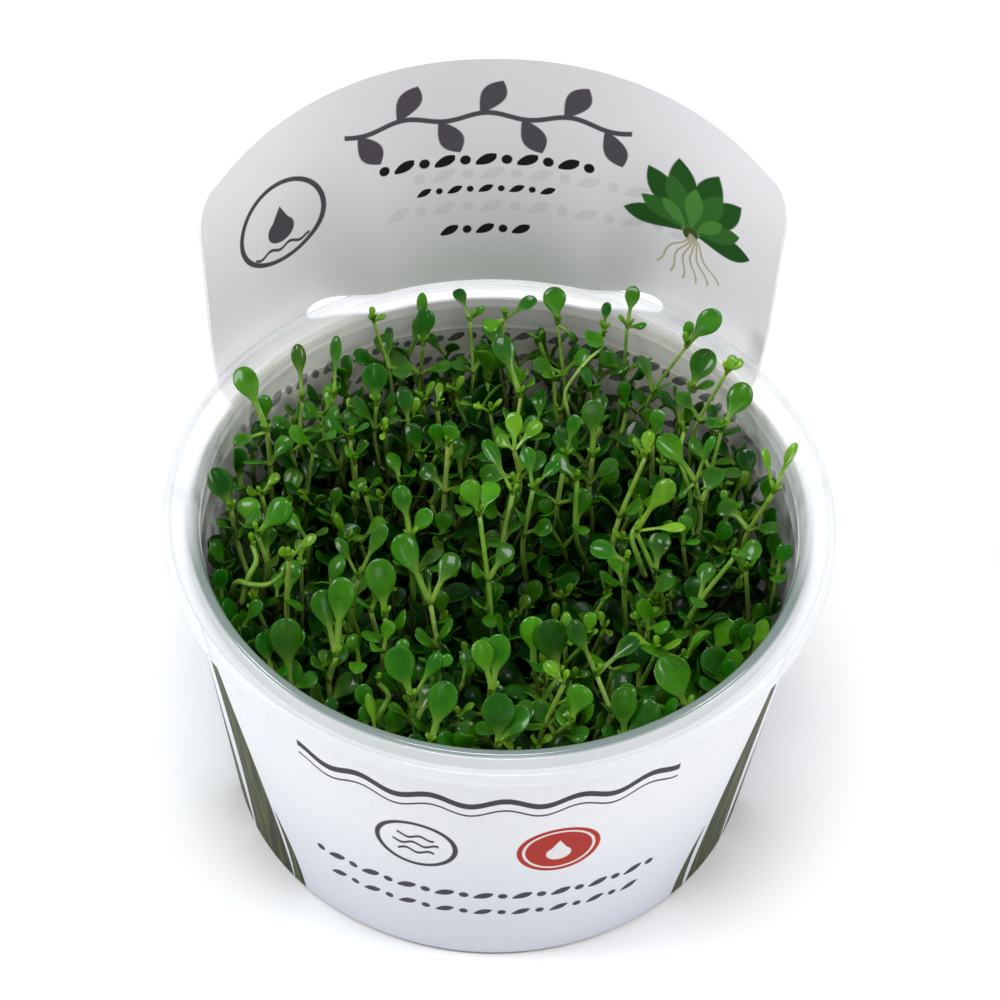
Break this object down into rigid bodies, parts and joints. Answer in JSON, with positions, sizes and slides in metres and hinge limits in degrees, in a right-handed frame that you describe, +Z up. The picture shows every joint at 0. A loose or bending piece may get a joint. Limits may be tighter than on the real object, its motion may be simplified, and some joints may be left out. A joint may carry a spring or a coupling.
{
  "type": "mud mat plant in a tissue culture cup",
  "caption": "Carpeting aquarium plant with small spoon leaves, grown on gel in a translucent cup with a printed card sleeve that stands up behind it.",
  "frame": {"origin": "middle of the cup's flat base, on the surface it stands on", "axes": "+Z up along the cup's axis, +Y towards the raised card at the back, +X to the right"},
  "size_m": [0.084, 0.0879, 0.082],
  "materials": {
    "cup_plastic": "translucent moulded polypropylene, glossy",
    "card": "coated white card with a printed design, satin",
    "gel": "clear to straw-coloured set gel, wet",
    "leaf": "living leaf, dark green, wet gloss",
    "young_leaf": "young shoot, yellow-green, satin"
  },
  "bodies": {
    "root": {"cup": "cup_plastic", "sleeve": "card", "nutrient_gel": "gel", "carpet": "leaf", "plantlet_01": "leaf", "plantlet_02": "leaf", "plantlet_03": "leaf", "plantlet_04": "leaf", "plantlet_05": "leaf", "plantlet_06": "leaf", "plantlet_07": "leaf", "plantlet_08": "leaf", "plantlet_09": "young_leaf", "plantlet_10": "young_leaf", "plantlet_11": "leaf", "plantlet_12": "leaf", "plantlet_13": "leaf", "plantlet_14": "leaf", "plantlet_15": "young_leaf", "plantlet_16": "leaf", "plantlet_17": "leaf", "plantlet_18": "leaf", "plantlet_19": "leaf", "plantlet_20": "leaf", "plantlet_21": "leaf", "plantlet_22": "leaf", "plantlet_23": "leaf", "plantlet_24": "leaf", "plantlet_25": "leaf", "plantlet_26": "leaf", "plantlet_27": "leaf", "plantlet_28": "young_leaf", "plantlet_29": "young_leaf", "plantlet_30": "leaf", "plantlet_31": "leaf", "plantlet_32": "young_leaf", "plantlet_33": "leaf", "plantlet_34": "young_leaf", "plantlet_35": "young_leaf", "plantlet_36": "leaf", "plantlet_37": "leaf", "plantlet_38": "leaf", "plantlet_39": "leaf", "plantlet_40": "young_leaf", "plantlet_41": "leaf", "plantlet_42": "leaf", "plantlet_43": "leaf", "plantlet_44": "leaf"}
  },
  "joints": []
}
